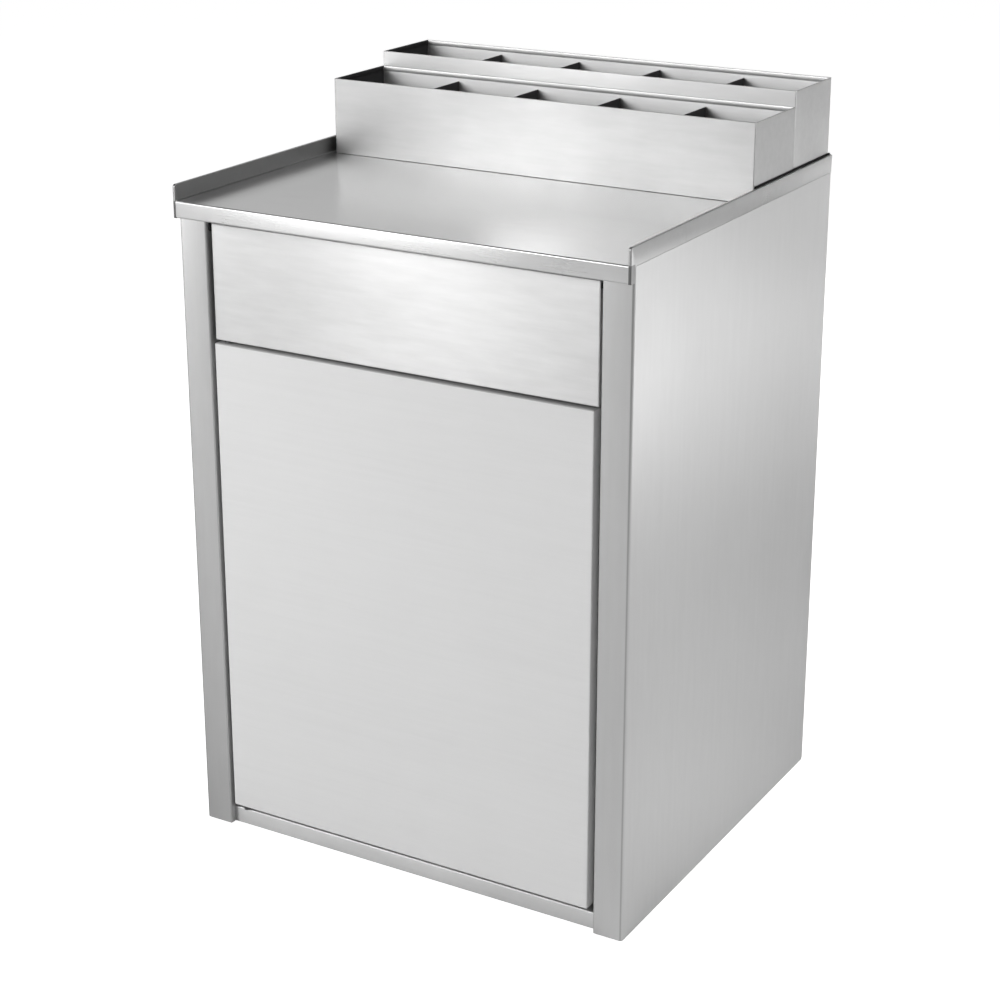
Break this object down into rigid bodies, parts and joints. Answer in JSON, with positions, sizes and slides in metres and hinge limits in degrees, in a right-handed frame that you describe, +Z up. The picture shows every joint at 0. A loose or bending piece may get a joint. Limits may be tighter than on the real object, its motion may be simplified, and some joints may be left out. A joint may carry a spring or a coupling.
{
  "type": "waste receptacle",
  "caption": "Free-standing brushed-steel waste receptacle with a raised-edge counter, a push flap, a hinged access door over a loose bin, and a stepped compartmented condiment organiser.",
  "frame": {"origin": "middle of the footprint, on the floor", "axes": "+Z up; the push flap and the door face -Y; +X is to the right of someone facing the front"},
  "size_m": [0.676, 0.617, 1.046],
  "materials": {
    "steel": "brushed stainless sheet, fine straight grain",
    "door_steel": "satin stainless sheet, fine level grain",
    "inner_steel": "dull mill-finish stainless sheet",
    "zinc": "bright zinc plate",
    "rubber": "matt black rubber",
    "nylon": "black nylon",
    "bin_plastic": "moulded grey polyethylene"
  },
  "bodies": {
    "cabinet": {"left_side_panel": "steel", "right_side_panel": "steel", "back_panel": "inner_steel", "back_screw_left_1": "zinc", "back_screw_left_2": "zinc", "back_screw_left_3": "zinc", "back_screw_right_1": "zinc", "back_screw_right_2": "zinc", "back_screw_right_3": "zinc", "base_pan": "steel", "front_header": "inner_steel", "rear_top_rail": "inner_steel", "mid_rail": "inner_steel", "counter_top": "steel", "glide_front_left": "nylon", "glide_front_right": "nylon", "glide_rear_left": "nylon", "glide_rear_right": "nylon", "bin_guide_left": "inner_steel", "bin_guide_right": "inner_steel", "flap_pivot_bush_left": "nylon", "flap_pivot_bush_right": "nylon", "flap_stop_left": "rubber", "flap_stop_right": "rubber", "magnet_catch": "nylon", "door_bumper_left": "rubber", "door_bumper_right": "rubber", "door_pivot_bracket_upper": "zinc", "door_pivot_bracket_lower": "zinc", "door_thrust_washer": "nylon"},
    "flap": {"flap_panel": "steel", "flap_inner_panel": "inner_steel", "flap_pivot_pin_left": "zinc", "flap_pivot_pin_right": "zinc"},
    "door": {"door_panel": "door_steel", "door_inner_panel": "inner_steel", "door_stiffener": "inner_steel", "door_pivot_pin_upper": "zinc", "door_pivot_pin_lower": "zinc", "strike_plate": "zinc"},
    "bin": {"waste_bin": "bin_plastic"},
    "front_tier": {"organiser_front": "steel", "organiser_front_divider_1": "steel", "organiser_front_divider_2": "steel", "organiser_front_divider_3": "steel", "organiser_front_divider_4": "steel"},
    "rear_tier": {"organiser_rear": "steel", "organiser_rear_divider_1": "steel", "organiser_rear_divider_2": "steel", "organiser_rear_divider_3": "steel", "organiser_rear_divider_4": "steel"}
  },
  "joints": [
    {"name": "flap_swing", "type": "hinge", "parent": "cabinet", "child": "flap", "pos_m": [0, -0.286, 0.883], "axis": [1, 0, 0], "range_deg": [0, 70]},
    {"name": "door_swing", "type": "hinge", "parent": "cabinet", "child": "door", "pos_m": [-0.2737, -0.286, 0.38], "axis": [0, 0, -1], "range_deg": [0, 105]},
    {"name": "bin_slide", "type": "slide", "parent": "cabinet", "child": "bin", "axis": [0, -1, 0], "range_m": [0, 0.035]},
    {"name": "organiser_front_lift", "type": "slide", "parent": "cabinet", "child": "front_tier", "axis": [0, 0, 1], "range_m": [0, 0.12]},
    {"name": "organiser_rear_lift", "type": "slide", "parent": "cabinet", "child": "rear_tier", "axis": [0, 0, 1], "range_m": [0, 0.12]}
  ]
}
